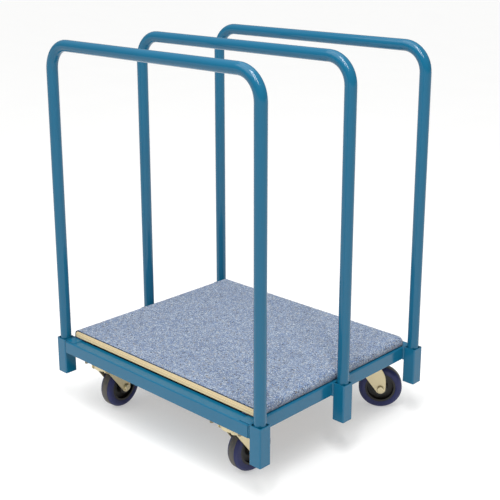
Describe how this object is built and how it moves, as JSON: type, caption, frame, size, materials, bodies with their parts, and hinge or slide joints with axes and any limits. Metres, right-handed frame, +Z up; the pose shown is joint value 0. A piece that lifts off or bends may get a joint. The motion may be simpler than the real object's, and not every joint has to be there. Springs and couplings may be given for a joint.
{
  "type": "board and panel trolley",
  "caption": "Low panel trolley: welded steel frame on swivel castors, carpeted plywood deck and upright tubular hoops that lift out of square sockets.",
  "frame": {"origin": "on the floor, below the middle of the welded frame", "axes": "+Z up; +X along the hoops, from the left sockets to the right ones; +Y across the hoops, from the front end rail to the rear"},
  "size_m": [0.65, 0.548, 0.8567],
  "materials": {
    "blue_paint": "gloss powder coat over welded steel",
    "plywood": "raw sawn birch plywood",
    "felt_carpet": "needle-felt carpet, flecked blue and grey",
    "zinc_plate": "zinc plated and yellow passivated",
    "bright_zinc": "bright zinc plated",
    "bare_steel": "ground steel",
    "black_nylon": "moulded nylon",
    "blue_rubber": "elastic rubber, tread scuffed grey"
  },
  "bodies": {
    "frame": {"left_side_rail": "blue_paint", "right_side_rail": "blue_paint", "front_end_rail": "blue_paint", "rear_end_rail": "blue_paint", "front_castor_bearer": "blue_paint", "rear_castor_bearer": "blue_paint", "front_left_socket": "blue_paint", "front_right_socket": "blue_paint", "middle_left_socket": "blue_paint", "middle_right_socket": "blue_paint", "rear_left_socket": "blue_paint", "rear_right_socket": "blue_paint", "socket_stops": "blue_paint", "frame_welds": "blue_paint", "deck_board": "plywood", "deck_carpet": "felt_carpet", "deck_screws": "bright_zinc", "castor_bolts": "bright_zinc", "castor_washers": "bright_zinc", "castor_nuts": "bright_zinc", "kingpins": "bright_zinc", "front_left_castor_plate": "zinc_plate", "front_right_castor_plate": "zinc_plate", "rear_right_castor_plate": "zinc_plate", "rear_left_castor_plate": "zinc_plate"},
    "front_hoop": {"front_hoop": "blue_paint"},
    "middle_hoop": {"middle_hoop": "blue_paint"},
    "rear_hoop": {"rear_hoop": "blue_paint"},
    "front_left_castor": {"front_left_fork": "zinc_plate", "front_left_swivel_balls": "bare_steel", "front_left_axle_bolt": "bright_zinc", "front_left_axle_nut": "bright_zinc", "front_left_axle_sleeve": "bare_steel"},
    "front_left_wheel": {"front_left_wheel_bearing": "bare_steel", "front_left_wheel_centre": "black_nylon", "front_left_tyre": "blue_rubber"},
    "front_right_castor": {"front_right_fork": "zinc_plate", "front_right_swivel_balls": "bare_steel", "front_right_axle_bolt": "bright_zinc", "front_right_axle_nut": "bright_zinc", "front_right_axle_sleeve": "bare_steel"},
    "front_right_wheel": {"front_right_wheel_bearing": "bare_steel", "front_right_wheel_centre": "black_nylon", "front_right_tyre": "blue_rubber"},
    "rear_right_castor": {"rear_right_fork": "zinc_plate", "rear_right_swivel_balls": "bare_steel", "rear_right_axle_bolt": "bright_zinc", "rear_right_axle_nut": "bright_zinc", "rear_right_axle_sleeve": "bare_steel"},
    "rear_right_wheel": {"rear_right_wheel_bearing": "bare_steel", "rear_right_wheel_centre": "black_nylon", "rear_right_tyre": "blue_rubber"},
    "rear_left_castor": {"rear_left_fork": "zinc_plate", "rear_left_swivel_balls": "bare_steel", "rear_left_axle_bolt": "bright_zinc", "rear_left_axle_nut": "bright_zinc", "rear_left_axle_sleeve": "bare_steel"},
    "rear_left_wheel": {"rear_left_wheel_bearing": "bare_steel", "rear_left_wheel_centre": "black_nylon", "rear_left_tyre": "blue_rubber"}
  },
  "joints": [
    {"name": "front_hoop_lift", "type": "slide", "parent": "frame", "child": "front_hoop", "axis": [0, 0, 1], "range_m": [0, 0.1]},
    {"name": "middle_hoop_lift", "type": "slide", "parent": "frame", "child": "middle_hoop", "axis": [0, 0, 1], "range_m": [0, 0.1]},
    {"name": "rear_hoop_lift", "type": "slide", "parent": "frame", "child": "rear_hoop", "axis": [0, 0, 1], "range_m": [0, 0.1]},
    {"name": "front_left_swivel", "type": "hinge", "parent": "frame", "child": "front_left_castor", "pos_m": [-0.207, -0.216, 0.124], "axis": [0, 0, 1], "continuous": true},
    {"name": "front_left_wheel_spin", "type": "hinge", "parent": "front_left_castor", "child": "front_left_wheel", "pos_m": [-0.21014, -0.18014, 0.05], "axis": [-0.9962, -0.0872, 0], "continuous": true},
    {"name": "front_right_swivel", "type": "hinge", "parent": "frame", "child": "front_right_castor", "pos_m": [0.207, -0.216, 0.124], "axis": [0, 0, 1], "continuous": true},
    {"name": "front_right_wheel_spin", "type": "hinge", "parent": "front_right_castor", "child": "front_right_wheel", "pos_m": [0.21014, -0.18014, 0.05], "axis": [-0.9962, 0.0872, 0], "continuous": true},
    {"name": "rear_right_swivel", "type": "hinge", "parent": "frame", "child": "rear_right_castor", "pos_m": [0.207, 0.216, 0.124], "axis": [0, 0, 1], "continuous": true},
    {"name": "rear_right_wheel_spin", "type": "hinge", "parent": "rear_right_castor", "child": "rear_right_wheel", "pos_m": [0.23537, 0.23816, 0.05], "axis": [-0.6157, 0.788, 0], "continuous": true},
    {"name": "rear_left_swivel", "type": "hinge", "parent": "frame", "child": "rear_left_castor", "pos_m": [-0.207, 0.216, 0.124], "axis": [0, 0, 1], "continuous": true},
    {"name": "rear_left_wheel_spin", "type": "hinge", "parent": "rear_left_castor", "child": "rear_left_wheel", "pos_m": [-0.19768, 0.18123, 0.05], "axis": [0.9659, 0.2588, 0], "continuous": true}
  ]
}
